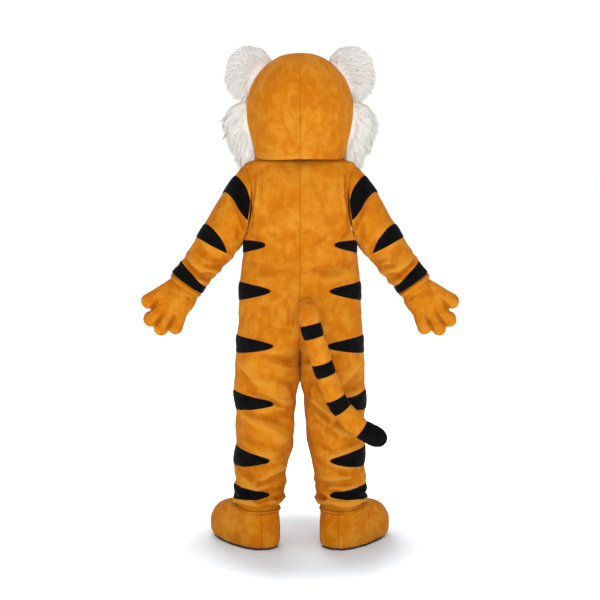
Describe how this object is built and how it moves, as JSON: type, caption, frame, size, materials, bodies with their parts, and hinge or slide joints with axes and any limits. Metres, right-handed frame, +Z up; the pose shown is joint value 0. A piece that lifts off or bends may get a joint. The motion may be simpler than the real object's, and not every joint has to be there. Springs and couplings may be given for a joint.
{
  "type": "tiger mascot costume",
  "caption": "Full-body tiger mascot costume in orange plush: loose coverall with black stripes, hollow head with white fur, gloves, boots and a ringed tail",
  "frame": {"origin": "on the floor under the middle of the body, midway between the legs, where the wearer stands", "axes": "+Z up, -Y the way the costume faces, +X the left side of the wearer"},
  "size_m": [1.2324, 0.5176, 1.9273],
  "materials": {
    "orange_plush": "short-pile orange plush with a soft sheen",
    "black_plush": "short-pile black plush",
    "cream_fur": "long-pile off-white fur",
    "sole_rubber": "matte black rubber",
    "eye": "glossy with a printed iris",
    "nose": "satin black"
  },
  "bodies": {
    "root": {"body_stripe_1_left": "black_plush", "body_stripe_1_right": "black_plush", "body_stripe_2_left": "black_plush", "body_stripe_2_right": "black_plush", "body_stripe_3_left": "black_plush", "body_stripe_3_right": "black_plush", "body_stripe_4_left": "black_plush", "body_stripe_4_right": "black_plush", "body_stripe_5_left": "black_plush", "body_stripe_5_right": "black_plush", "body_stripe_6_left": "black_plush", "body_stripe_6_right": "black_plush", "boot_band_left": "orange_plush", "boot_band_right": "orange_plush", "boot_heel_inner_left": "orange_plush", "boot_heel_inner_right": "orange_plush", "boot_heel_outer_left": "orange_plush", "boot_heel_outer_right": "orange_plush", "boot_sole_left": "sole_rubber", "boot_sole_right": "sole_rubber", "boot_vamp_left": "orange_plush", "boot_vamp_right": "orange_plush", "cheek_fur_left": "cream_fur", "cheek_fur_right": "cream_fur", "cuff_left": "orange_plush", "cuff_right": "orange_plush", "ear_left": "cream_fur", "ear_right": "cream_fur", "eye_left": "eye", "eye_right": "eye", "glove_back_left": "orange_plush", "glove_back_right": "orange_plush", "glove_palm_left": "orange_plush", "glove_palm_right": "orange_plush", "head_back_left": "orange_plush", "head_back_right": "orange_plush", "head_front": "orange_plush", "muzzle": "cream_fur", "nose": "nose", "sleeve_left": "orange_plush", "sleeve_right": "orange_plush", "sleeve_stripe_1_left": "black_plush", "sleeve_stripe_1_right": "black_plush", "sleeve_stripe_2_left": "black_plush", "sleeve_stripe_2_right": "black_plush", "sleeve_stripe_3_left": "black_plush", "sleeve_stripe_3_right": "black_plush", "suit_back_left": "orange_plush", "suit_back_right": "orange_plush", "suit_front_left": "orange_plush", "suit_front_right": "orange_plush", "tail_orange_1": "orange_plush", "tail_orange_2": "orange_plush", "tail_orange_3": "orange_plush", "tail_orange_4": "orange_plush", "tail_ring_1": "black_plush", "tail_ring_2": "black_plush", "tail_ring_3": "black_plush", "tail_tip": "black_plush"}
  },
  "joints": []
}
